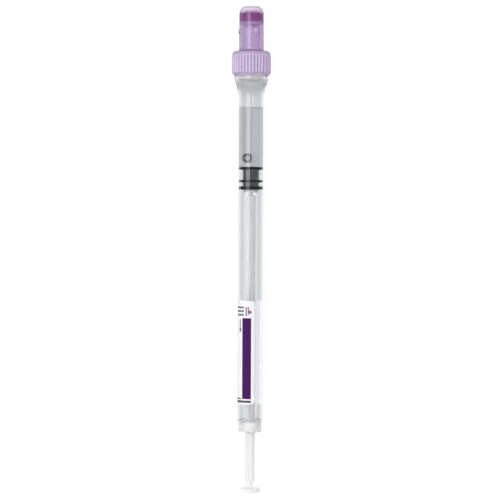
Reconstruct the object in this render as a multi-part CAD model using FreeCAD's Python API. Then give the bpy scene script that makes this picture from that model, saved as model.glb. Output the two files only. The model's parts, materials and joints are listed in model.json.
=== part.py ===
import FreeCAD
import Part
import math
import os

# Syringe-type blood collection tube for sedimentation tests, in millimetres.
#
# Every piece is drawn upright: heights run along the tube's axis from the foot of the
# barrel (0) up to the cap, radii are measured from that axis, and angles are counted from
# the front (-Y) towards +X. lay_down() then puts the whole tube on its side as it rests
# on a table: cap towards +Y, front up, floor at Z = 0.

# ---- Barrel: one clear moulding ------------------------------------------------------
BARREL_LENGTH = 120.0      # foot to mouth
BORE_R = 3.4
WALL = 0.6
FOOT_HEIGHT = 3.9          # stretch at the foot with a slightly smaller outside
FOOT_STEP = 0.2
LEAD_IN_HEIGHT = 1.4       # widening below the snap ring, where the piston is pushed in
RING_HEIGHT = 1.4          # snap ring that keeps the piston in
RING_DEPTH = 0.35
FUNNEL_HEIGHT = 4.8
COLLAR_HEIGHT = 1.05
COLLAR_R = 5.5
NECK_HEIGHT = 4.05         # collar to mouth, hidden in the cap
NECK_WALL = 0.55
MOUTH_R = 4.3

# ---- Screw cap: one translucent moulding ---------------------------------------------
CAP_GAP = 0.15             # collar to the rim of the closed cap
THREAD_ROOM = 0.42         # between neck and skirt, where the screw thread runs
SKIRT_HEIGHT = 8.1
SKIRT_R = 6.4              # over the ribs
RIM_CHAMFER_HEIGHT = 0.9   # smooth band below the ribs
RIB_COUNT = 36
GROOVE_MOUTH = 0.8
GROOVE_FLOOR = 0.25
GROOVE_DEPTH = 0.28
SHOULDER_ROUND = 1.6
SHOULDER_LAND = 0.1        # smooth ring between the rounding and the ribs
TOP_WALL = 1.0
NOZZLE_LENGTH = 14.4
NOZZLE_R = 3.97            # of the plain end above the lugs
NOZZLE_WALL = 0.82
NOZZLE_DRAFT = 0.05        # how much wider the nozzle is at its root
TIP_HEIGHT = 2.0           # tapered end of the nozzle
TIP_TAPER = 0.42
TIP_BEVEL_HEIGHT = 0.75
TIP_BEVEL = 1.0
ROOT_BEVEL = 0.3
NEEDLE_HOLE_R = 2.1
NOZZLE_LIP = 2.1           # depth of the lip that holds the membrane down
PLUG_DEPTH = 2.1           # how far the plug ring reaches into the mouth
PLUG_BEAD_HEIGHT = 0.6
PLUG_RELIEF = 0.15         # the plug ring is slimmer above its bead
PLUG_CLEARANCE = 0.04

LUG_COUNT = 3
LUG_FIRST_ANGLE = 19.4
LUG_BELOW_TOP = 8.1
LUG_PROUD = 0.42
LUG_WIDTH = 1.1
LUG_HEIGHT = 1.8
LUG_BEVEL = 0.15

# ---- Membrane: rubber stopper in the nozzle ------------------------------------------
MEMBRANE_THICKNESS = 2.8
MEMBRANE_SKIRT = 1.1
MEMBRANE_SKIRT_WALL = 0.7
MEMBRANE_BEVEL = 0.4       # where the skirt meets the disc
MEMBRANE_CLEARANCE = 0.03

# ---- Piston seal ---------------------------------------------------------------------
SEAL_FROM_FOOT = 79.0      # where the piston is stored
SEAL_CORE_R = 2.6
SEAL_CLEARANCE = 0.04
LOWER_LIP = 1.2
LOWER_GROOVE = 1.15
MIDDLE_LIP = 0.9
UPPER_GROOVE = 3.2
UPPER_LIP = 1.0
CROWN_RISE = 0.45
SOCKET_CLEARANCE = 0.03

# ---- Plunger rod: one moulding -------------------------------------------------------
ROD_TAIL = 19.9            # thumb disc's face to the foot of the barrel
ROD_SPAN = 3.05
ROD_WEB = 0.85
ROD_TURN = 18.0            # front arm of the cross, from the front
HEAD_R = 1.6
HEAD_LENGTH = 2.8
HEAD_NECK_R = 0.95
HEAD_NECK_LENGTH = 1.6
FLANGE_R = 2.3
FLANGE_THICKNESS = 0.75
FLANGE_GAP = 0.05
SNAP_R = 0.75
SNAP_LENGTH = 1.3
WEB_R = 1.5
WEB_THICKNESS = 0.5
WEB_BELOW_SEAL = 22.3
DISC_R = 3.4
DISC_RIM = 1.15
DISC_BEVEL = 0.35
DISC_RISE = 0.45
TAIL_NECK_R = 0.75
TAIL_NECK_LENGTH = 1.1
GUSSET_THICKNESS = 0.6
GUSSET_REACH = 1.9

# ---- Label ---------------------------------------------------------------------------
LABEL_FROM_FOOT = 9.1
LABEL_HEIGHT = 33.8
LABEL_THICKNESS = 0.08
LABEL_GLUE = 0.01
LABEL_EDGE_ANGLE = 21.0    # the edge at the front
LABEL_WRAP = 271.0         # the rest is the window strip
LABEL_CORNER = 1.2

# ---- Citrate -------------------------------------------------------------------------
CITRATE_LENGTH = 19.45
CITRATE_CLEARANCE = 0.03
MENISCUS_DEPTH = 1.0
MENISCUS_FLAT_R = 1.4

# ---- Derived heights and radii -------------------------------------------------------
TUBE_R = BORE_R + WALL
FOOT_R = TUBE_R - FOOT_STEP
RING_TOP = LEAD_IN_HEIGHT + RING_HEIGHT
COLLAR_TOP = BARREL_LENGTH - NECK_HEIGHT
COLLAR_FOOT = COLLAR_TOP - COLLAR_HEIGHT
FUNNEL_FOOT = COLLAR_FOOT - FUNNEL_HEIGHT
NECK_R = MOUTH_R + NECK_WALL
CAP_BORE_R = NECK_R + THREAD_ROOM
RIM = COLLAR_TOP + CAP_GAP
RIB_FOOT = RIM + RIM_CHAMFER_HEIGHT
LOW_RIB = math.sqrt(SKIRT_R ** 2 - (GROOVE_MOUTH / 2) ** 2)  # axis to the two lowest ribs
SHOULDER = RIM + SKIRT_HEIGHT
NOZZLE_TOP = SHOULDER + NOZZLE_LENGTH
NOZZLE_BORE_R = NOZZLE_R - NOZZLE_WALL
MEMBRANE_TOP = NOZZLE_TOP - NOZZLE_LIP
LUG_MIDDLE = NOZZLE_TOP - LUG_BELOW_TOP
LUG_TOP = LUG_MIDDLE + LUG_HEIGHT / 2
SEAL_GROOVE_FOOT = SEAL_FROM_FOOT + LOWER_LIP
MIDDLE_LIP_FOOT = SEAL_GROOVE_FOOT + LOWER_GROOVE
UPPER_GROOVE_FOOT = MIDDLE_LIP_FOOT + MIDDLE_LIP
UPPER_LIP_FOOT = UPPER_GROOVE_FOOT + UPPER_GROOVE
SEAL_TOP = UPPER_LIP_FOOT + UPPER_LIP
SEAL_R = BORE_R - SEAL_CLEARANCE
FLANGE_TOP = SEAL_FROM_FOOT - FLANGE_GAP
FLANGE_FOOT = FLANGE_TOP - FLANGE_THICKNESS
ROD_TOP = FLANGE_FOOT - SNAP_LENGTH
DISC_FACE = -ROD_TAIL
DISC_RIM_TOP = DISC_FACE + DISC_RIM
DISC_TOP = DISC_RIM_TOP + DISC_RISE
ROD_FOOT = DISC_TOP + TAIL_NECK_LENGTH

AXIS = FreeCAD.Vector(0, 0, 1)
CENTRE = FreeCAD.Vector(0, 0, 0)


# ---- Helpers -------------------------------------------------------------------------
def at(radius, height):
    return FreeCAD.Vector(radius, 0, height)


def turned(outline, sweep=360):
    """Solid of revolution of a closed outline of (radius, height) corners."""
    corners = [at(*corner) for corner in outline]
    face = Part.Face(Part.makePolygon(corners + corners[:1]))
    return face.revolve(CENTRE, AXIS, sweep)


def cylinder(radius, foot, top):
    return Part.makeCylinder(radius, top - foot, at(0, foot))


def rims(shape, *places):
    """The circular edges of a turned shape at the given (radius, height) corners."""
    found = []
    for edge in shape.Edges:
        curve = edge.Curve
        if isinstance(curve, Part.Circle):
            for radius, height in places:
                if abs(curve.Radius - radius) < 1e-4 and abs(curve.Center.z - height) < 1e-4:
                    found.append(edge)
    return found


def rounded(shape, radius, *places):
    return shape.makeFillet(radius, rims(shape, *places))


def bevelled(shape, size, *places):
    return shape.makeChamfer(size, rims(shape, *places))


def facing(shape, angle):
    """Turns a shape built at the front (-Y) to an angle counted towards +X."""
    turned_copy = shape.copy()
    turned_copy.rotate(CENTRE, AXIS, angle)
    return turned_copy


# ---- Barrel --------------------------------------------------------------------------
FUNNEL_ROUND = 2.5
COLLAR_ROUND = 1.2


def make_barrel():
    funnel_slope = (COLLAR_R - TUBE_R) / FUNNEL_HEIGHT
    inner_funnel_top = FUNNEL_FOOT + (MOUTH_R - BORE_R) / funnel_slope
    body = turned([
        (BORE_R, 0),
        (BORE_R - RING_DEPTH, LEAD_IN_HEIGHT),
        (BORE_R - RING_DEPTH, RING_TOP),
        (BORE_R, RING_TOP),
        (BORE_R, FUNNEL_FOOT),
        (MOUTH_R, inner_funnel_top),
        (MOUTH_R, BARREL_LENGTH),
        (NECK_R, BARREL_LENGTH),
        (NECK_R, COLLAR_TOP),
        (COLLAR_R, COLLAR_TOP),
        (COLLAR_R, COLLAR_FOOT),
        (TUBE_R, FUNNEL_FOOT),
        (TUBE_R, FOOT_HEIGHT),
        (FOOT_R, FOOT_HEIGHT - FOOT_STEP),
        (FOOT_R, 0),
    ])
    body = rounded(body, FUNNEL_ROUND, (TUBE_R, FUNNEL_FOOT), (BORE_R, FUNNEL_FOOT))
    return rounded(body, COLLAR_ROUND, (COLLAR_R, COLLAR_FOOT), (MOUTH_R, inner_funnel_top))


# ---- Screw cap -----------------------------------------------------------------------
def make_cap_body():
    plug_end = BARREL_LENGTH - PLUG_DEPTH
    plug_r = MOUTH_R - PLUG_CLEARANCE
    plug_slope = 0.3
    bead_top = plug_end + plug_slope + PLUG_BEAD_HEIGHT
    root_r = NOZZLE_R + NOZZLE_DRAFT
    tip_r = NOZZLE_R - TIP_TAPER
    body = turned([
        (CAP_BORE_R, RIM),
        (COLLAR_R, RIM),
        (SKIRT_R, RIB_FOOT),
        (SKIRT_R, SHOULDER),
        (root_r, SHOULDER),
        (NOZZLE_R, LUG_TOP),
        (NOZZLE_R, NOZZLE_TOP - TIP_HEIGHT),
        (tip_r, NOZZLE_TOP - TIP_BEVEL_HEIGHT),
        (tip_r - TIP_BEVEL, NOZZLE_TOP),
        (NEEDLE_HOLE_R, NOZZLE_TOP),
        (NEEDLE_HOLE_R, MEMBRANE_TOP),
        (NOZZLE_BORE_R, MEMBRANE_TOP),
        (NOZZLE_BORE_R, plug_end),
        (plug_r - PLUG_RELIEF, plug_end),
        (plug_r, plug_end + plug_slope),
        (plug_r, bead_top),
        (plug_r - PLUG_RELIEF, bead_top + plug_slope),
        (plug_r - PLUG_RELIEF, SHOULDER - TOP_WALL),
        (CAP_BORE_R, SHOULDER - TOP_WALL),
    ])
    body = rounded(body, SHOULDER_ROUND, (SKIRT_R, SHOULDER))
    return bevelled(body, ROOT_BEVEL, (root_r, SHOULDER))


def make_grooves():
    """Grooves with sloping sides that leave the grip ribs between them, up to the shoulder."""
    floor_r = SKIRT_R - GROOVE_DEPTH
    outer_r = SKIRT_R + GROOVE_DEPTH / 4
    flank = (GROOVE_MOUTH - GROOVE_FLOOR) / 2 / GROOVE_DEPTH
    outer = GROOVE_FLOOR / 2 + flank * (outer_r - floor_r)
    section = [
        FreeCAD.Vector(-GROOVE_FLOOR / 2, -floor_r, RIB_FOOT),
        FreeCAD.Vector(GROOVE_FLOOR / 2, -floor_r, RIB_FOOT),
        FreeCAD.Vector(outer, -outer_r, RIB_FOOT),
        FreeCAD.Vector(-outer, -outer_r, RIB_FOOT),
    ]
    top = SHOULDER - SHOULDER_ROUND - SHOULDER_LAND
    groove = Part.Face(Part.makePolygon(section + section[:1])).extrude(at(0, top - RIB_FOOT))
    return [facing(groove, i * 360 / RIB_COUNT) for i in range(RIB_COUNT)]


def make_lug():
    """Bayonet stud at the front of the nozzle, sloped above and below."""
    root = NOZZLE_R - NOZZLE_WALL / 2
    side = [
        FreeCAD.Vector(0, -root, LUG_MIDDLE - LUG_HEIGHT / 2),
        FreeCAD.Vector(0, -NOZZLE_R, LUG_MIDDLE - LUG_HEIGHT / 2),
        FreeCAD.Vector(0, -NOZZLE_R - LUG_PROUD, LUG_MIDDLE - LUG_HEIGHT / 6),
        FreeCAD.Vector(0, -NOZZLE_R - LUG_PROUD, LUG_MIDDLE + LUG_HEIGHT / 6),
        FreeCAD.Vector(0, -NOZZLE_R, LUG_TOP),
        FreeCAD.Vector(0, -root, LUG_TOP),
    ]
    lug = Part.Face(Part.makePolygon(side + side[:1])).extrude(FreeCAD.Vector(LUG_WIDTH, 0, 0))
    lug.translate(FreeCAD.Vector(-LUG_WIDTH / 2, 0, 0))
    outer = [edge for edge in lug.Edges if all(v.Y < -NOZZLE_R + 1e-6 for v in edge.Vertexes)]
    return lug.makeChamfer(LUG_BEVEL, outer)


def make_screw_cap():
    cap = make_cap_body().cut(make_grooves())
    lug = make_lug()
    lugs = [facing(lug, LUG_FIRST_ANGLE + i * 360 / LUG_COUNT) for i in range(LUG_COUNT)]
    return cap.fuse(lugs)


# ---- Membrane ------------------------------------------------------------------------
def make_membrane():
    radius = NOZZLE_BORE_R - MEMBRANE_CLEARANCE
    top = MEMBRANE_TOP - MEMBRANE_CLEARANCE
    foot = top - MEMBRANE_THICKNESS
    hollow_r = radius - MEMBRANE_SKIRT_WALL
    body = turned([
        (0, foot),
        (hollow_r, foot),
        (hollow_r, foot - MEMBRANE_SKIRT),
        (radius, foot - MEMBRANE_SKIRT),
        (radius, top),
        (0, top),
    ])
    return bevelled(body, MEMBRANE_BEVEL, (hollow_r, foot))


# ---- Piston seal ---------------------------------------------------------------------
def make_piston_seal():
    head_foot = FLANGE_TOP + HEAD_NECK_LENGTH
    socket_top = head_foot + HEAD_LENGTH + SOCKET_CLEARANCE
    return turned([
        (HEAD_NECK_R + SOCKET_CLEARANCE, SEAL_FROM_FOOT),
        (SEAL_R, SEAL_FROM_FOOT),
        (SEAL_R, SEAL_GROOVE_FOOT),
        (SEAL_CORE_R, SEAL_GROOVE_FOOT),
        (SEAL_CORE_R, MIDDLE_LIP_FOOT),
        (SEAL_R, MIDDLE_LIP_FOOT),
        (SEAL_R, UPPER_GROOVE_FOOT),
        (SEAL_CORE_R, UPPER_GROOVE_FOOT),
        (SEAL_CORE_R, UPPER_LIP_FOOT),
        (SEAL_R, UPPER_LIP_FOOT),
        (SEAL_R, SEAL_TOP),
        (0, SEAL_TOP + CROWN_RISE),
        (0, socket_top),
        (HEAD_NECK_R + SOCKET_CLEARANCE, socket_top),
        (HEAD_R + SOCKET_CLEARANCE, head_foot - SOCKET_CLEARANCE),
        (HEAD_NECK_R + SOCKET_CLEARANCE, head_foot - SOCKET_CLEARANCE),
    ])


# ---- Plunger rod ---------------------------------------------------------------------
def make_arm(angle):
    """One flat bar of the cross, its lower corners cut back to the neck."""
    corner = ROD_SPAN / 2 - TAIL_NECK_R
    half = ROD_SPAN / 2
    side = [
        at(-half, ROD_TOP),
        at(-half, ROD_FOOT + corner),
        at(-half + corner, ROD_FOOT),
        at(half - corner, ROD_FOOT),
        at(half, ROD_FOOT + corner),
        at(half, ROD_TOP),
    ]
    bar = Part.Face(Part.makePolygon(side + side[:1])).extrude(FreeCAD.Vector(0, ROD_WEB, 0))
    bar.translate(FreeCAD.Vector(0, -ROD_WEB / 2, 0))
    return facing(bar, angle)


def make_gusset(angle):
    """Triangular rib from the tail neck down to the thumb disc."""
    side = [
        at(0, DISC_RIM_TOP),
        at(TAIL_NECK_R + GUSSET_REACH, DISC_RIM_TOP),
        at(0, ROD_FOOT),
    ]
    rib = Part.Face(Part.makePolygon(side + side[:1])).extrude(FreeCAD.Vector(0, GUSSET_THICKNESS, 0))
    rib.translate(FreeCAD.Vector(0, -GUSSET_THICKNESS / 2, 0))
    return facing(rib, angle)


def make_plunger_rod():
    head_foot = FLANGE_TOP + HEAD_NECK_LENGTH
    head_top = head_foot + HEAD_LENGTH
    upper = turned([
        (0, ROD_TOP - WEB_THICKNESS),
        (ROD_SPAN / 2, ROD_TOP - WEB_THICKNESS),
        (ROD_SPAN / 2, ROD_TOP),
        (SNAP_R, ROD_TOP + SNAP_LENGTH / 2),
        (SNAP_R, FLANGE_FOOT),
        (FLANGE_R, FLANGE_FOOT),
        (FLANGE_R, FLANGE_TOP),
        (HEAD_NECK_R, FLANGE_TOP),
        (HEAD_NECK_R, head_foot),
        (HEAD_R, head_foot),
        (HEAD_NECK_R, head_top),
        (0, head_top),
    ])
    tail = turned([
        (0, DISC_FACE),
        (DISC_R, DISC_FACE),
        (DISC_R, DISC_RIM_TOP),
        (TAIL_NECK_R, DISC_TOP),
        (TAIL_NECK_R, ROD_FOOT + TAIL_NECK_R),
        (0, ROD_FOOT + TAIL_NECK_R),
    ])
    tail = bevelled(tail, DISC_BEVEL, (DISC_R, DISC_FACE), (DISC_R, DISC_RIM_TOP))
    web_foot = SEAL_FROM_FOOT - WEB_BELOW_SEAL
    web = cylinder(WEB_R, web_foot, web_foot + WEB_THICKNESS)
    front_arm = ROD_TURN - 90
    arms = [make_arm(front_arm), make_arm(front_arm + 90)]
    gussets = [make_gusset(front_arm), make_gusset(front_arm + 180)]
    return upper.fuse(arms + [web, tail] + gussets)


# ---- Label ---------------------------------------------------------------------------
def make_corner_cutter(inner_r):
    """What rounds the sheet's lower left corner, with that corner at the front."""
    depth = LABEL_THICKNESS * 10
    outside = inner_r + depth
    square = Part.makeBox(LABEL_CORNER, outside, LABEL_CORNER, FreeCAD.Vector(0, -outside, 0))
    round_middle = FreeCAD.Vector(LABEL_CORNER, 0, LABEL_CORNER)
    cutter = square.cut(Part.makeCylinder(LABEL_CORNER, outside, round_middle, FreeCAD.Vector(0, -1, 0)))
    margin = FreeCAD.Vector(0, 0, -1e-3)
    return cutter.translated(margin)


def make_label():
    top = LABEL_FROM_FOOT + LABEL_HEIGHT
    inner_r = TUBE_R + LABEL_GLUE
    outer_r = inner_r + LABEL_THICKNESS
    sheet = turned([
        (inner_r, LABEL_FROM_FOOT),
        (outer_r, LABEL_FROM_FOOT),
        (outer_r, top),
        (inner_r, top),
    ], LABEL_WRAP)
    sheet = facing(sheet, LABEL_EDGE_ANGLE - 90 - LABEL_WRAP)
    cutter = make_corner_cutter(inner_r)
    flipped = cutter.mirror(CENTRE, FreeCAD.Vector(1, 0, 0))
    cutters = []
    for angle, corner in ((LABEL_EDGE_ANGLE - LABEL_WRAP, cutter), (LABEL_EDGE_ANGLE, flipped)):
        lower = facing(corner, angle)
        upper = lower.mirror(CENTRE, AXIS)
        cutters.append(lower.translated(at(0, LABEL_FROM_FOOT)))
        cutters.append(upper.translated(at(0, top)))
    return sheet.cut(cutters)


# ---- Citrate -------------------------------------------------------------------------
def make_citrate():
    radius = BORE_R - CITRATE_CLEARANCE
    surface = SEAL_TOP + CITRATE_LENGTH
    foot = SEAL_TOP + CITRATE_CLEARANCE
    return turned([
        (0, foot + CROWN_RISE),
        (radius, foot),
        (radius, surface),
        (MENISCUS_FLAT_R, surface - MENISCUS_DEPTH),
        (0, surface - MENISCUS_DEPTH),
    ])


# ---- Rest ----------------------------------------------------------------------------
def resting_tilt():
    """Angle of the axis when two ribs and the lowest rim of the barrel touch the table."""
    slopes = [
        (LOW_RIB - FOOT_R) / RIB_FOOT,
        (LOW_RIB - TUBE_R) / (RIB_FOOT - FOOT_HEIGHT),
    ]
    return math.atan(min(slopes))


def lay_down(shape):
    """Puts an upright piece on its side, cap towards +Y, lowest points at Z = 0."""
    tilt = resting_tilt()
    middle = (NOZZLE_TOP + DISC_FACE) / 2
    floor = RIB_FOOT * math.sin(tilt) - LOW_RIB * math.cos(tilt)
    onto_side = FreeCAD.Rotation(FreeCAD.Vector(1, 0, 0), math.degrees(tilt) - 90)
    move = FreeCAD.Vector(0, -middle * math.cos(tilt), -floor)
    return shape.transformed(FreeCAD.Placement(move, onto_side).toMatrix(), True)


PIECES = {
    "barrel": make_barrel,
    "label": make_label,
    "screw_cap": make_screw_cap,
    "membrane": make_membrane,
    "piston_seal": make_piston_seal,
    "plunger_rod": make_plunger_rod,
    "citrate": make_citrate,
}

os.makedirs("parts", exist_ok=True)
for name, make in PIECES.items():
    lay_down(make()).exportStep("parts/" + name + ".step")
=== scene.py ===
import json
import math

import bpy
import bmesh
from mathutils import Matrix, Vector


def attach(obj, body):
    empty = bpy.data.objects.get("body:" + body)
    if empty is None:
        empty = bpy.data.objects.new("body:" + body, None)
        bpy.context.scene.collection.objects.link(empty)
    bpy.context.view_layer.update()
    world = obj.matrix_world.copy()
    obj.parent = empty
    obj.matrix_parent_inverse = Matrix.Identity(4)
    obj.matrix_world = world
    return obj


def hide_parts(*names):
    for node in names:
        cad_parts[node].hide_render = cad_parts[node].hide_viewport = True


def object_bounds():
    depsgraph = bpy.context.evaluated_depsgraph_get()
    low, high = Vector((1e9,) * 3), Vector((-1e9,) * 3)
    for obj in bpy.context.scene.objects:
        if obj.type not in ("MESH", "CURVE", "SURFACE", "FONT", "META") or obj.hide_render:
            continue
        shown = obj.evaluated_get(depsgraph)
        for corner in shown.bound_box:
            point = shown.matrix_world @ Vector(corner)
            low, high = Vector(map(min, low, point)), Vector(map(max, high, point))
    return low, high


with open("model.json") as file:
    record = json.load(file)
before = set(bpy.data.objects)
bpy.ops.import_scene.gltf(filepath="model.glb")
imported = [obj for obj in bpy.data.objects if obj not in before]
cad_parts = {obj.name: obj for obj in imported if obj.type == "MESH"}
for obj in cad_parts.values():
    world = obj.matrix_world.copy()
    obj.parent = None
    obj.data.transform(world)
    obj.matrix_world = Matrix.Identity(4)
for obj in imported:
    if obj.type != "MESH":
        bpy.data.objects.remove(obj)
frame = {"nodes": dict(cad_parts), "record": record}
CAD_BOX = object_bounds()

# ---- Frame ---------------------------------------------------------------------------
# Sizes are in millimetres: heights along the tube's axis from the foot of the barrel,
# radii from that axis, and angles in degrees from the front (the side that lies up)
# towards +X.
MOUNTS = {mount["name"]: mount for mount in frame["record"]["mounts"]}
ALONG = Vector(MOUNTS["nozzle"]["axis"]).normalized()
ACROSS = Vector((1, 0, 0))
FRONT = ACROSS.cross(ALONG)
FOOT = Vector(MOUNTS["foot"]["pos_m"]) - ALONG * MOUNTS["foot"]["dims"]["length_mm"] / 2000
FLOOR_Z = CAD_BOX[0][2]

# Barrel
BORE_R, TUBE_R, MOUTH_R, NECK_R, COLLAR_R = 3.4, 4.0, 4.3, 4.85, 5.5
FOOT_HEIGHT, FOOT_STEP = 3.9, 0.2
LEAD_IN_HEIGHT, RING_TOP, RING_DEPTH = 1.4, 2.8, 0.35
FUNNEL_FOOT, FUNNEL_INNER_TOP = 110.1, 112.98
COLLAR_FOOT, COLLAR_TOP, MOUTH = 114.9, 115.95, 120.0

# Screw threads of neck and cap, with roots and crest as half widths
PITCH, TURNS, THREAD_DEPTH = 2.5, 0.8, 0.32
THREAD_FIRST, THREAD_FADE, THREAD_STUB = 90, 6, 0.4
NECK_THREAD_START, CAP_THREAD_START = 117.4, 116.625
NECK_THREAD_ROOT, CAP_THREAD_ROOT, THREAD_CREST = 0.4, 0.344, 0.225

# Screw cap
CAP_BORE_R, SKIRT_R = 5.27, 6.4
RIM, RIB_FOOT, RIB_TOP, CEILING, SHOULDER = 116.1, 117.0, 122.5, 123.2, 124.2
RIBS, GROOVE_MOUTH, GROOVE_FLOOR, GROOVE_DEPTH = 36, 0.8, 0.25, 0.28
GROOVE_END, GROOVE_RUN_OUT = RIB_TOP + 0.02, 0.12
PLUG_R, PLUG_RELIEF, PLUG_END, PLUG_SLOPE, BEAD_TOP = 4.26, 0.15, 117.9, 0.3, 118.8
NOZZLE_R, NOZZLE_ROOT_R, NOZZLE_BORE_R, NEEDLE_HOLE_R = 3.97, 4.02, 3.15, 2.1
SEAT, NOZZLE_TOP = 136.5, 138.6
TIP_HEIGHT, TIP_TAPER, TIP_BEVEL_HEIGHT, TIP_BEVEL = 2.0, 0.42, 0.75, 1.0
LUG_MIDDLE, LUG_HALF, LUG_PROUD, LUG_WIDTH, LUG_FIRST = 130.5, 0.9, 0.42, 1.1, 19.4
LUG_SLOPE, LUG_SIDE = LUG_HALF * 2 / 3, 0.03

# Membrane, with its skirt below the disc
MEMBRANE_SKIRT_FOOT, DISC_FOOT, MEMBRANE_TOP, MEMBRANE_HOLLOW_R = 132.57, 133.67, 136.47, 2.42

# Piston seal: foot and top of each lip, and the socket for the rod's barbed head
LIPS = [(79.0, 80.2), (81.35, 82.25), (85.45, 86.45)]
SEAL_FOOT, SEAL_TOP = LIPS[0][0], LIPS[-1][1]
SEAL_CORE_R, CROWN_RISE = 2.6, 0.45
SOCKET_NECK_R, SOCKET_HEAD_R, SOCKET_STEP, SOCKET_TOP = 0.98, 1.63, 80.52, 83.38

# Citrate, with a meniscus and an air bubble
LIQUID_GAP, LIQUID_TOP, BOWL_DEPTH = 0.01, 105.9, 0.5
BUBBLE_R, BUBBLE_OFF, BUBBLE_TURN, BUBBLE_UP = 1.65, 1.55, -36, 89.3

# Label and the print on it
LABEL_R, INK_LIFT, INK_STEP = 4.09, 0.008, 3

TOUCH = 0.02               # how far soft and liquid pieces press into the wall they touch
SAME = 0.01                # radii or heights closer than this count as the same


def place(radius, angle, height):
    turn = math.radians(angle)
    out = ACROSS * math.sin(turn) + FRONT * math.cos(turn)
    return FOOT + (ALONG * height + out * radius) / 1000


def radius_of(point):
    return (point - FOOT).cross(ALONG).length * 1000


# ---- Mesh helpers --------------------------------------------------------------------
ARC_STEP = 11              # largest turn between two points of a rounding
SHORT_EDGE = 0.05          # edges that rise less than this get no rows
# Points round the axis
BARREL_STEPS, CAP_STEPS, RUBBER_STEPS, LIQUID_STEPS = 180, 432, 120, 128


def soften(corners):
    """Closed outline of (radius, height[, rounding]) corners with arcs at the rounded ones."""
    outline = []
    count = len(corners)
    for i, corner in enumerate(corners):
        here = Vector(corner[:2])
        if len(corner) < 3:
            outline.append(here)
            continue
        before = (Vector(corners[i - 1][:2]) - here).normalized()
        after = (Vector(corners[(i + 1) % count][:2]) - here).normalized()
        half = before.angle(after) / 2
        reach = corner[2] / math.tan(half)
        middle = here + (before + after).normalized() * corner[2] / math.sin(half)
        start = here + before * reach - middle
        sweep = start.angle_signed(here + after * reach - middle)
        steps = max(2, math.ceil(abs(sweep) / math.radians(ARC_STEP)))
        for k in range(steps + 1):
            turn = sweep * k / steps
            outline.append(middle + Vector((
                start.x * math.cos(turn) + start.y * math.sin(turn),
                start.y * math.cos(turn) - start.x * math.sin(turn),
            )))
    return outline


def refine(outline, spans):
    """Adds rows where an edge runs along the axis inside a span (foot, top, step)."""
    fine = []
    for here, there in zip(outline, outline[1:] + outline[:1]):
        fine.append(here)
        low, high = sorted((here.y, there.y))
        if high - low < SHORT_EDGE:
            continue
        levels = set()
        for foot, top, step in spans:
            rows = round((top - foot) / step)
            levels.update(round(foot + k * (top - foot) / rows, 5) for k in range(rows + 1))
        inside = sorted(level for level in levels if low + SAME < level < high - SAME)
        if here.y > there.y:
            inside.reverse()
        for level in inside:
            fine.append(here.lerp(there, (level - here.y) / (there.y - here.y)))
    return fine


def add_lathe(shape, outline, steps, relief=None):
    """Turns an outline about the axis; a relief gives the radius by angle, height and radius."""
    rows = []
    for point in outline:
        if point.x < 1e-6:
            rows.append([shape.verts.new(place(0, 0, point.y))])
            continue
        row = []
        for k in range(steps):
            angle = 360 * k / steps
            radius = relief(angle, point.y, point.x) if relief else point.x
            row.append(shape.verts.new(place(radius, angle, point.y)))
        rows.append(row)
    for one, two in zip(rows, rows[1:] + rows[:1]):
        if len(one) == len(two) == 1:
            continue
        for k in range(steps):
            ring = [one[k % len(one)], one[(k + 1) % len(one)]]
            ring += [two[(k + 1) % len(two)], two[k % len(two)]]
            shape.faces.new([v for i, v in enumerate(ring) if v not in ring[:i]])
    bmesh.ops.recalc_face_normals(shape, faces=shape.faces)


def finish_mesh(shape, name, sharp=32):
    mesh = bpy.data.meshes.new(name)
    shape.to_mesh(mesh)
    shape.free()
    mesh.shade_smooth()
    mesh.set_sharp_from_angle(angle=math.radians(sharp))
    piece = bpy.data.objects.new(name, mesh)
    bpy.context.scene.collection.objects.link(piece)
    return piece


def lathe(name, outline, steps, relief=None, sharp=32):
    shape = bmesh.new()
    add_lathe(shape, outline, steps, relief)
    return finish_mesh(shape, name, sharp)


def ridge(angle, height, start, half_root):
    """Height of a thread ridge, 0 to 1, faded out at both ends of its run."""
    run = (angle - THREAD_FIRST) % 360
    middle = start + PITCH * run / 360
    flank = (half_root - abs(height - middle)) / (half_root - THREAD_CREST)
    left = 360 * TURNS - run
    ends = min(run, left) / THREAD_FADE + THREAD_STUB
    return min(1, max(0, flank)) * min(1, max(0, ends))


# ---- Material helpers ----------------------------------------------------------------
NOISE_LOW, NOISE_HIGH = 0.3, 0.7     # most of a noise lies between these
# Slants, 0 face on and 1 edge on, between which one look gives way to another
WALL_SLANTS, LIQUID_SLANTS, CAP_SLANTS = (0.07, 0.11), (0.16, 0.24), (0.3, 0.75)
WALL_FADE = 2.0
RIDGE_CLEAR = 0.6                    # clearness of a rib or lug, against the wall beside it


def srgb(code):
    """Linear colour of an sRGB code such as 8899AA."""
    levels = [int(code[i:i + 2], 16) / 255 for i in (0, 2, 4)]
    return [c / 12.92 if c <= 0.04045 else ((c + 0.055) / 1.055) ** 2.4 for c in levels]


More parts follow.
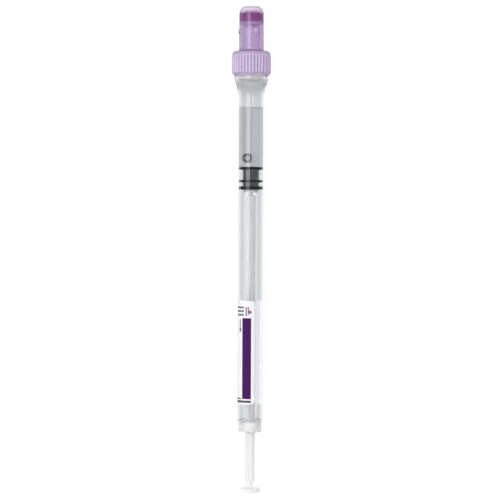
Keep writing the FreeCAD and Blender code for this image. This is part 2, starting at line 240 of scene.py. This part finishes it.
class Material:
    """A Principled material whose detail comes from noise in the object's own metres."""

    def __init__(self, name, color, roughness, **sockets):
        self.material = bpy.data.materials.new(name)
        self.material.use_nodes = True
        self.nodes = self.material.node_tree.nodes
        self.links = self.material.node_tree.links
        self.shader = self.nodes["Principled BSDF"]
        self.shader.inputs["Base Color"].default_value = (*color, 1)
        self.shader.inputs["Roughness"].default_value = roughness
        for label, value in sockets.items():
            self.shader.inputs[label.replace("_", " ")].default_value = value
        self.place = self.nodes.new("ShaderNodeTexCoord").outputs["Object"]

    def feed(self, socket, source):
        self.links.new(source, self.shader.inputs[socket])

    # Sources: each returns the output of a node.
    def noise(self, per_mm, detail=2.0, stretch=(1, 1, 1)):
        mapping = self.nodes.new("ShaderNodeMapping")
        mapping.inputs["Scale"].default_value = [1000 * per_mm * s for s in stretch]
        self.links.new(self.place, mapping.inputs["Vector"])
        noise = self.nodes.new("ShaderNodeTexNoise")
        noise.inputs["Scale"].default_value = 1.0
        noise.inputs["Detail"].default_value = detail
        self.links.new(mapping.outputs["Vector"], noise.inputs["Vector"])
        return noise.outputs["Fac"]

    def slant(self):
        """0 where the surface is seen face on, 1 where it is seen edge on."""
        return self.nodes.new("ShaderNodeLayerWeight").outputs["Facing"]

    def distance(self, direction):
        """Distance from the middle of the barrel's foot along a direction, in millimetres."""
        dot = self.nodes.new("ShaderNodeVectorMath")
        dot.operation = "DOT_PRODUCT"
        dot.inputs[1].default_value = direction * 1000
        self.links.new(self.place, dot.inputs[0])
        return self.math("SUBTRACT", dot.outputs["Value"], FOOT.dot(direction) * 1000)

    def math(self, operation, one, two):
        node = self.nodes.new("ShaderNodeMath")
        node.operation = operation
        for socket, value in zip(node.inputs, (one, two)):
            if isinstance(value, (int, float)):
                socket.default_value = value
            else:
                self.links.new(value, socket)
        return node.outputs["Value"]

    def span(self, source, start, end, low, high):
        """Maps the range from start to end to the range from low to high."""
        span = self.nodes.new("ShaderNodeMapRange")
        for label, value in zip(("From Min", "From Max", "To Min", "To Max"), (start, end, low, high)):
            span.inputs[label].default_value = value
        self.links.new(source, span.inputs["Value"])
        return span.outputs["Result"]

    def spread(self, source, low, high):
        """Maps the middle of a noise to the range from low to high."""
        return self.span(source, NOISE_LOW, NOISE_HIGH, low, high)

    def blend(self, share, low, high):
        blend = self.nodes.new("ShaderNodeMix")
        blend.data_type = "RGBA"
        self.links.new(share, blend.inputs["Factor"])
        self.links.new(low, blend.inputs["A"])
        blend.inputs["B"].default_value = (*high, 1)
        return blend.outputs["Result"]

    def colors(self, source, stops):
        """Colours that follow a source, given as (level from 0 to 1, colour) in rising order."""
        ramp = self.nodes.new("ShaderNodeValToRGB")
        elements = ramp.color_ramp.elements
        while len(elements) < len(stops):
            elements.new(0.5)
        for element, (level, color) in zip(elements, stops):
            element.position = level
            element.color = (*color, 1)
        self.links.new(source, ramp.inputs["Fac"])
        return ramp.outputs["Color"]

    def colors_along(self, stops):
        """Colours that follow the height, given as (height, colour) in rising order."""
        low, high = stops[0][0], stops[-1][0]
        share = self.span(self.distance(ALONG), low, high, 0, 1)
        return self.colors(share, [((level - low) / (high - low), color) for level, color in stops])

    def codes_along(self, stops):
        return self.colors_along([(level, srgb(code)) for level, code in stops])

    def numbers_along(self, stops):
        return self.colors_along([(level, (value,) * 3) for level, value in stops])

    # Looks: each feeds a socket of the shader.
    def rough(self, source, low, high):
        self.feed("Roughness", self.spread(source, low, high))

    def frosted(self, source, stops):
        """Roughness that follows the height, with a little noise."""
        unevenness = self.spread(source, 0.0, 0.035)
        self.feed("Roughness", self.math("ADD", self.numbers_along(stops), unevenness))

    def bump(self, source, height_mm, strength=1.0):
        bump = self.nodes.new("ShaderNodeBump")
        bump.inputs["Strength"].default_value = strength
        bump.inputs["Distance"].default_value = height_mm / 1000
        self.links.new(source, bump.inputs["Height"])
        self.feed("Normal", bump.outputs["Normal"])

    def shades(self, source, dark, light):
        self.feed("Base Color", self.colors(source, [(NOISE_LOW, dark), (NOISE_HIGH, light)]))

    def by_slant(self, middle, edge):
        """Tint that changes where the surface is seen at a slant: on the citrate as the path inside
        does, on the bubble a painted dark rim.
        """
        start, end = LIQUID_SLANTS
        stops = [(start, srgb(middle)), (end, srgb(edge))]
        self.feed("Base Color", self.colors(self.slant(), stops))

    def tint_wall(self, tint, top):
        """Wall tint, left off face on below a height and for light on its way inside; the face-on gap is
        painted light that brightens the rod behind the wall.
        """
        face_on = self.math("MULTIPLY", self.span(self.slant(), *WALL_SLANTS, 1, 0),
                            self.span(self.distance(ALONG), top - WALL_FADE, top, 1, 0))
        inside = self.nodes.new("ShaderNodeLightPath").outputs["Diffuse Depth"]
        share = self.math("MINIMUM", self.math("ADD", face_on, inside), 1)
        self.feed("Base Color", self.blend(share, tint, srgb("FCFCFD")))

    def milky_ridges_with_highlight(self, plain, edge, light, clear):
        """Deeper in colour at a slant; paler, a painted highlight, and less clear where the attribute
        "ridge" is 1.
        """
        plain = self.blend(self.span(self.slant(), *CAP_SLANTS, 0, 1), plain, edge)
        attribute = self.nodes.new("ShaderNodeAttribute")
        attribute.attribute_name = "ridge"
        share = attribute.outputs["Fac"]
        self.feed("Base Color", self.blend(share, plain, light))
        milky = self.span(share, 0, 1, 1, RIDGE_CLEAR)
        self.feed("Transmission Weight", self.math("MULTIPLY", clear, milky))

    def clear_behind(self, upper, lower):
        """Transmission that differs on the upper and the lower side of the tube."""
        self.feed("Transmission Weight", self.span(self.distance(FRONT), -1, 1, lower, upper))

    def onto(self, piece):
        piece.data.materials.clear()
        piece.data.materials.append(self.material)


# ---- Barrel --------------------------------------------------------------------------
def neck_thread(angle, height, radius):
    if abs(radius - NECK_R) > SAME or height < COLLAR_TOP + SAME:
        return radius
    return radius + THREAD_DEPTH * ridge(angle, height, NECK_THREAD_START, NECK_THREAD_ROOT)


ring_r = BORE_R - RING_DEPTH
foot_r = TUBE_R - FOOT_STEP
barrel_outline = soften([
    (BORE_R, 0, 0.08), (ring_r, LEAD_IN_HEIGHT, 0.3), (ring_r, RING_TOP, 0.12), (BORE_R, RING_TOP, 0.06),
    (BORE_R, FUNNEL_FOOT, 2.5), (MOUTH_R, FUNNEL_INNER_TOP, 1.2), (MOUTH_R, MOUTH, 0.15),
    (NECK_R, MOUTH, 0.15), (NECK_R, COLLAR_TOP, 0.12),
    (COLLAR_R, COLLAR_TOP, 0.12), (COLLAR_R, COLLAR_FOOT, 1.2), (TUBE_R, FUNNEL_FOOT, 2.5),
    (TUBE_R, FOOT_HEIGHT, 0.1), (foot_r, FOOT_HEIGHT - FOOT_STEP, 0.1), (foot_r, 0, 0.12),
])
tube_rows = (10, 110, 5)
neck_thread_rows = (116.9, 119.9, 0.075)
barrel_outline = refine(barrel_outline, [tube_rows, neck_thread_rows])
barrel = lathe("barrel_moulding", barrel_outline, BARREL_STEPS, neck_thread)
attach(barrel, "tube")
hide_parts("barrel")

clear = Material("clear_barrel", srgb("E4E6E7"), 0.03, Transmission_Weight=1.0, IOR=1.49)
clear.frosted(clear.noise(0.5, 3, (1, 0.15, 1)), [
    (0, 0.25), (RING_TOP, 0.25), (3.2, 0.015), (110, 0.015), (112, 0.2), (MOUTH, 0.2),
])
# Paler at the foot, behind the label and from the collar up, deeper in the funnel.
# The pale parts are painted light: they lift dark corners at the foot, the label's back seen through the
# wall and a dark band at the collar.
clear.tint_wall(clear.codes_along([
    (0, "F4F5F6"), (2.5, "F4F5F6"), (4, "E4E6E7"), (8.9, "E4E6E7"), (9.3, "FAFBFC"), (42.7, "FAFBFC"),
    (43.1, "E4E6E7"), (108, "E4E6E7"), (111, "DDE0E2"), (114.5, "DDE0E2"), (115.2, "F2F3F5"),
]), SEAL_FOOT)
# Less clear at the foot and from the collar up; at the foot the pale diffuse part is painted light over
# the dark corners.
clear.feed("Transmission Weight", clear.numbers_along([
    (0, 0.5), (3, 0.5), (3.6, 1.0), (111, 1.0), (115, 0.75), (MOUTH, 0.75),
]))
clear.bump(clear.noise(0.35, 2, (1, 0.12, 1)), 0.006, 0.15)
clear.onto(barrel)


# ---- Screw cap -----------------------------------------------------------------------
def grooved(angle, height, radius):
    """Groove with sloping sides between two ribs, run out at its upper end."""
    pitch = 360 / RIBS
    off = (angle + pitch / 2) % pitch - pitch / 2
    across = abs(SKIRT_R * math.sin(math.radians(off)))
    depth = GROOVE_DEPTH * (GROOVE_MOUTH / 2 - across) / ((GROOVE_MOUTH - GROOVE_FLOOR) / 2)
    share = min(1, max(0, (GROOVE_END - height) / GROOVE_RUN_OUT))
    return radius - min(GROOVE_DEPTH, max(0, depth)) * share


def lugged(angle, height, radius):
    """Three lugs with flat fronts, sloping at foot and top."""
    off = (angle - LUG_FIRST + 60) % 120 - 60
    across = NOZZLE_R * math.sin(math.radians(off))
    rise = (LUG_HALF - abs(height - LUG_MIDDLE)) / LUG_SLOPE
    side = (LUG_WIDTH / 2 + LUG_SIDE - abs(across)) / (2 * LUG_SIDE)
    if rise <= 0 or side <= 0:
        return radius
    front = (NOZZLE_R + LUG_PROUD) / math.cos(math.radians(off))
    return radius + (front - radius) * min(1, rise) * min(1, side)


def cap_relief(angle, height, radius):
    if radius > SKIRT_R - SAME and RIB_FOOT - SAME < height < GROOVE_END:
        return grooved(angle, height, radius)
    if NOZZLE_R - SAME < radius < NOZZLE_ROOT_R and height > SHOULDER:
        return lugged(angle, height, radius)
    if abs(radius - CAP_BORE_R) < SAME and height > RIM + SAME:
        return radius - THREAD_DEPTH * ridge(angle, height, CAP_THREAD_START, CAP_THREAD_ROOT)
    return radius


plug_neck_r = PLUG_R - PLUG_RELIEF
tip_r = NOZZLE_R - TIP_TAPER
cap_outline = soften([
    (CAP_BORE_R, RIM, 0.06), (COLLAR_R, RIM, 0.15), (SKIRT_R, RIB_FOOT), (SKIRT_R, SHOULDER, 1.6),
    (NOZZLE_ROOT_R, SHOULDER, 0.35), (NOZZLE_R, LUG_MIDDLE + LUG_HALF),
    (NOZZLE_R, NOZZLE_TOP - TIP_HEIGHT, 0.8), (tip_r, NOZZLE_TOP - TIP_BEVEL_HEIGHT, 0.5),
    (tip_r - TIP_BEVEL, NOZZLE_TOP, 0.2), (NEEDLE_HOLE_R, NOZZLE_TOP, 0.12),
    (NEEDLE_HOLE_R, SEAT, 0.1), (NOZZLE_BORE_R, SEAT, 0.1), (NOZZLE_BORE_R, PLUG_END, 0.1),
    (plug_neck_r, PLUG_END, 0.1), (PLUG_R, PLUG_END + PLUG_SLOPE, 0.1), (PLUG_R, BEAD_TOP, 0.1),
    (plug_neck_r, BEAD_TOP + PLUG_SLOPE, 0.1), (plug_neck_r, CEILING, 0.15), (CAP_BORE_R, CEILING, 0.25),
])
cap_thread_rows = (116.2, 119.1, 0.058)
rib_rows = (118.0, 122.0, 1.0)
groove_end_rows = (GROOVE_END - 0.16, GROOVE_END, 0.02)
lug_rows = (129.5, 131.5, 0.05)
cap_outline = refine(cap_outline, [cap_thread_rows, rib_rows, groove_end_rows, lug_rows])
cap = lathe("cap_moulding", cap_outline, CAP_STEPS, cap_relief, sharp=34)
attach(cap, "cap")
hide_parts("screw_cap")

lilac = Material("lilac_cap", srgb("CDB4D8"), 0.3, IOR=1.49)
lilac.rough(lilac.noise(0.8, 3), 0.26, 0.34)
lilac.bump(lilac.noise(3, 2), 0.003, 0.2)
# Paler at the rim, darker up the skirt and paler at the shoulder; the pale tip is a painted highlight.
lilac.milky_ridges_with_highlight(
    plain=lilac.codes_along([
        (116, "DCCFE8"), (117, "C4AFD6"), (122.5, "B8A0CD"), (123.5, "DDCBEA"),
        (125, "DCCAE7"), (136.6, "DCCAE7"), (137.4, "F8EDF8"), (138, "F8EDF8"),
    ]),
    edge=srgb("AF93C2"),
    light=srgb("DDCBEA"),
    clear=lilac.numbers_along([(117, 0.35), (123, 0.35), (125, 0.94), (136.8, 0.94), (137.6, 0.4)]),
)
lilac.onto(cap)
# The attribute "ridge" is 1 on ribs and lugs, and falls to 0 in the grooves: it paints a highlight on
# ribs and lugs and shade in the grooves.
ridge_highlight_share = cap.data.attributes.new("ridge", "FLOAT", "POINT")
for vertex in cap.data.vertices:
    up = (vertex.co - FOOT).dot(ALONG) * 1000
    out = radius_of(vertex.co)
    if RIB_FOOT - SAME < up < RIB_TOP + 0.2 and out > SKIRT_R - GROOVE_DEPTH - 0.05:
        ridge_highlight_share.data[vertex.index].value = min(1, max(0, 1 - (SKIRT_R - out) / GROOVE_DEPTH))
    elif abs(up - LUG_MIDDLE) < LUG_HALF and out > NOZZLE_R + 0.1:
        ridge_highlight_share.data[vertex.index].value = 1

# ---- Membrane ------------------------------------------------------------------------
membrane_r = NOZZLE_BORE_R + TOUCH
membrane = lathe("membrane_rubber", soften([
    (0, DISC_FOOT), (MEMBRANE_HOLLOW_R, DISC_FOOT, 0.4), (MEMBRANE_HOLLOW_R, MEMBRANE_SKIRT_FOOT, 0.12),
    (membrane_r, MEMBRANE_SKIRT_FOOT, 0.12), (membrane_r, MEMBRANE_TOP, 0.1), (0, MEMBRANE_TOP),
]), RUBBER_STEPS)
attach(membrane, "membrane")
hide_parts("membrane")

purple_rubber = Material("purple_rubber", srgb("A82E92"), 0.5, Specular_IOR_Level=0.2)
purple_rubber.rough(purple_rubber.noise(1.5, 3), 0.42, 0.58)
# Paler in the thin skirt below the disc.
purple_rubber.feed("Base Color", purple_rubber.codes_along([
    (132.5, "DCC8E2"), (133.4, "CFA8D2"), (133.9, "9C1894"), (136.5, "9C1894"),
]))
purple_rubber.bump(purple_rubber.noise(5, 2), 0.01, 0.4)
purple_rubber.onto(membrane)

# ---- Piston seal ---------------------------------------------------------------------
seal_r = BORE_R + TOUCH
lips = []
for foot, top in LIPS:
    lips += [(SEAL_CORE_R, foot, 0.1), (seal_r, foot, 0.2), (seal_r, top, 0.2), (SEAL_CORE_R, top, 0.1)]
seal = lathe("piston_rubber", soften([
    (SOCKET_NECK_R, SEAL_FOOT, 0.05), *lips[1:-1], (0, SEAL_TOP + CROWN_RISE), (0, SOCKET_TOP),
    (SOCKET_NECK_R, SOCKET_TOP), (SOCKET_HEAD_R, SOCKET_STEP), (SOCKET_NECK_R, SOCKET_STEP),
]), RUBBER_STEPS)
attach(seal, "plunger")
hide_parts("piston_seal")

dark_rubber = Material("dark_rubber", srgb("34383C"), 0.28)
dark_rubber.rough(dark_rubber.noise(1.2, 3), 0.26, 0.38)
dark_rubber.shades(dark_rubber.noise(0.5, 3), srgb("303438"), srgb("383C41"))
dark_rubber.bump(dark_rubber.noise(5, 2), 0.008, 0.3)
dark_rubber.onto(seal)
# Where a lip is pressed against the wall there is no air between them, so no gloss; the darker colour of
# this copy of the rubber is painted shade.
pressed = Material("pressed_rubber", srgb("24272A"), 0.5, Specular_IOR_Level=0.0)
pressed.rough(pressed.noise(1.2, 3), 0.45, 0.55)
pressed.shades(pressed.noise(0.5, 3), srgb("222528"), srgb("282B2E"))
seal.data.materials.append(pressed.material)
for face in seal.data.polygons:
    face.material_index = int(radius_of(face.center) > BORE_R)

# ---- Citrate with its meniscus and one air bubble ------------------------------------
liquid_r = BORE_R + TOUCH
bowl_r = (liquid_r ** 2 + BOWL_DEPTH ** 2) / (2 * BOWL_DEPTH)
bowl = []
for k in range(12, -1, -1):
    radius = liquid_r * k / 12
    bowl.append((radius, LIQUID_TOP - BOWL_DEPTH + bowl_r - math.sqrt(bowl_r ** 2 - radius ** 2)))
liquid_foot = [(0, SEAL_TOP + CROWN_RISE + LIQUID_GAP), (liquid_r, SEAL_TOP + LIQUID_GAP)]
liquid_shape = bmesh.new()
add_lathe(liquid_shape, [Vector(p) for p in liquid_foot + bowl], LIQUID_STEPS)
air = bmesh.new()
bmesh.ops.create_icosphere(air, subdivisions=5, radius=BUBBLE_R / 1000)
bmesh.ops.translate(air, verts=air.verts, vec=place(BUBBLE_OFF, BUBBLE_TURN, BUBBLE_UP))
bmesh.ops.reverse_faces(air, faces=air.faces)
air_mesh = bpy.data.meshes.new("air")
air.to_mesh(air_mesh)
air.free()
first_air_face = len(liquid_shape.faces)
liquid_shape.from_mesh(air_mesh)
bpy.data.meshes.remove(air_mesh)
liquid = finish_mesh(liquid_shape, "citrate_liquid", sharp=40)
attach(liquid, "plunger")
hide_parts("citrate")

water = Material("citrate_water", srgb("DDE2E4"), 0.0, Transmission_Weight=1.0, IOR=1.34)
water.rough(water.noise(0.3), 0.0, 0.02)
water.by_slant("DBDDE1", "F3F5F6")
water.onto(liquid)
# The bubble's skin turns dark at a slant: a painted dark rim.
bubble_shaded_skin = Material("bubble_skin_dark_rim", srgb("DDE2E4"), 0.03, Transmission_Weight=1.0, IOR=1.34)
bubble_shaded_skin.rough(bubble_shaded_skin.noise(0.3), 0.02, 0.06)
bubble_shaded_skin.by_slant("D4D7D9", "50565A")
liquid.data.materials.append(bubble_shaded_skin.material)
for face in liquid.data.polygons[first_air_face:]:
    face.material_index = 1

# ---- Plunger rod and label (CAD nodes) -----------------------------------------------
milky = Material("natural_rod", srgb("F6F6F7"), 0.35, Transmission_Weight=0.3, IOR=1.25)
milky.rough(milky.noise(0.9, 3), 0.28, 0.42)
milky.shades(milky.noise(0.3, 3), srgb("F4F4F5"), srgb("FBFBFC"))
milky.bump(milky.noise(3, 2, (1, 0.3, 1)), 0.003, 0.2)
milky.onto(frame["nodes"]["plunger_rod"])

film = Material("label_film", srgb("F6F7F9"), 0.45, IOR=1.1)
film.clear_behind(0.3, 0.95)
film.rough(film.noise(1.5, 3), 0.4, 0.55)
film.shades(film.noise(2.2, 4), srgb("F5F6F9"), srgb("FAFBFC"))
film.bump(film.noise(7, 3), 0.006, 0.4)
film.onto(frame["nodes"]["label"])


# ---- Print ---------------------------------------------------------------------------
def printed(name, shapes, color):
    """Ink on the label: flat shapes of four (angle, height) corners, bent round it.

    The corners run up the left side and down the right side. The ink has no thickness:
    each shape is a closed sheet whose back lies in the same place as its front.
    """
    shape = bmesh.new()
    for corners in shapes:
        angles = [corner[0] for corner in corners]
        steps = max(2, math.ceil((max(angles) - min(angles)) / INK_STEP))
        columns = []
        for k in range(steps + 1):
            share = k / steps
            column = []
            for one, two in zip(corners[:2], corners[:1:-1]):
                angle, height = [a + (b - a) * share for a, b in zip(one, two)]
                column.append(shape.verts.new(place(LABEL_R + INK_LIFT, angle, height)))
            columns.append(column)
        for one, two in zip(columns, columns[1:]):
            shape.faces.new((one[0], one[1], two[1], two[0]))
    bmesh.ops.solidify(shape, geom=shape.faces[:], thickness=0)
    bmesh.ops.recalc_face_normals(shape, faces=shape.faces)
    piece = finish_mesh(shape, name)
    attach(piece, "tube")
    ink = Material(name, color, 0.5, Specular_IOR_Level=0.2)
    ink.rough(ink.noise(2, 3), 0.42, 0.58)
    ink.shades(ink.noise(3, 3), [c * 0.9 for c in color], [min(1, c * 1.1) for c in color])
    ink.bump(ink.noise(7, 3), 0.004, 0.4)
    ink.onto(piece)


def field(left, right, foot, top):
    return [(left, foot), (left, top), (right, top), (right, foot)]


def spot(middle, height, radius):
    """Round spot, as eight strips one above the other."""
    strips = []
    half = math.degrees(radius / LABEL_R)
    for k in range(8):
        low, high = k / 4 - 1, k / 4 - 0.75
        foot_half, top_half = [half * math.sqrt(1 - y * y) for y in (low, high)]
        foot, top = height + radius * low, height + radius * high
        strips.append([
            (middle - foot_half, foot), (middle - top_half, top),
            (middle + top_half, top), (middle + foot_half, foot),
        ])
    return strips


printed("print_purple", [field(-38.5, 4.1, 10.9, 37.25)], srgb("5E1C7A"))
short_bars = [field(angle, angle + 10, level, level + 0.6)
              for level in (38.0, 39.2, 40.4) for angle in range(-78, -41, 12)]
arrow_line = field(-55, -50, 33.5, 36.8)
arrow_head = [(-52, 32.3), (-59, 33.8), (-45, 33.8), (-53, 32.3)]
dash = field(-85, -46, 10.8, 11.2)
printed("print_grey", [*short_bars, arrow_line, arrow_head, dash], srgb("54565C"))
long_bars = [field(-22, -16, 38.0, 40.9), field(-11, -6, 38.4, 40.9)]
printed("print_pink", [*long_bars, *spot(-1.5, 39.2, 0.55)], srgb("B07FAE"))
printed("print_strip", [field(-80, 4.4, 9.7, 10.4)], srgb("786A72"))

# ---- Stage, light and camera ---------------------------------------------------------
def by_ray(tree, plain, **levels):
    """A number that differs for the kinds of ray that are named."""
    path = tree.nodes.new("ShaderNodeLightPath")
    value = None
    for label, level in levels.items():
        mix = tree.nodes.new("ShaderNodeMix")
        tree.links.new(path.outputs[f"Is {label} Ray"], mix.inputs["Factor"])
        if value is None:
            mix.inputs["A"].default_value = plain
        else:
            tree.links.new(value, mix.inputs["A"])
        mix.inputs["B"].default_value = level
        value = mix.outputs["Result"]
    return value


reach = 6.0
corners = [(-reach, -reach), (reach, -reach), (reach, reach), (-reach, reach)]
floor_mesh = bpy.data.meshes.new("floor")
floor_mesh.from_pydata([(x, y, FLOOR_Z) for x, y in corners], [], [(0, 1, 2, 3)])
floor = bpy.data.objects.new("floor", floor_mesh)
bpy.context.scene.collection.objects.link(floor)
paper = bpy.data.materials.new("floor_paper")
paper.use_nodes = True
surface = paper.node_tree.nodes["Principled BSDF"]
surface.inputs["Base Color"].default_value = (0.1, 0.1, 0.1, 1)
surface.inputs["Roughness"].default_value = 0.9
surface.inputs["Specular IOR Level"].default_value = 0.0
surface.inputs["Emission Color"].default_value = (1, 1, 1, 1)
glow = by_ray(paper.node_tree, 0.75, Camera=0.92, Glossy=0.92, Transmission=0.92)
paper.node_tree.links.new(glow, surface.inputs["Emission Strength"])
floor_mesh.materials.append(paper)

world = bpy.data.worlds.new("studio")
bpy.context.scene.world = world
world.use_nodes = True
sky = world.node_tree.nodes["Background"]
sky.inputs["Color"].default_value = (1, 1, 1, 1)
glow = by_ray(world.node_tree, 0.87, Glossy=0.35, Camera=1.0, Transmission=1.0)
world.node_tree.links.new(glow, sky.inputs["Strength"])


def lamp(name, location, size, watts):
    """Soft lamp that points at the middle of the tube; its size is along and across the tube."""
    data = bpy.data.lights.new(name, "AREA")
    data.shape = "RECTANGLE"
    data.size, data.size_y = size
    data.energy = watts
    light = bpy.data.objects.new(name, data)
    light.location = location
    light.rotation_mode = "QUATERNION"
    light.rotation_quaternion = (-Vector(location)).to_track_quat("-Z", "Y")
    bpy.context.scene.collection.objects.link(light)


lamp("key", (-0.34, 0.0, 0.64), (0.4, 0.5), 1.5)
lamp("strip", (-0.24, 0.144, 0.6), (0.05, 0.1), 0.55)

camera_data = bpy.data.cameras.new("camera")
camera_data.sensor_width = 36
camera_data.lens = 132.2
camera_data.clip_start = 0.01
camera = bpy.data.objects.new("camera", camera_data)
bpy.context.scene.collection.objects.link(camera)
camera.location = (-0.00018, 0.0, 0.6052)
camera.rotation_euler = (0, 0, math.radians(0.25))
bpy.context.scene.camera = camera

bpy.context.scene.view_settings.view_transform = "Standard"
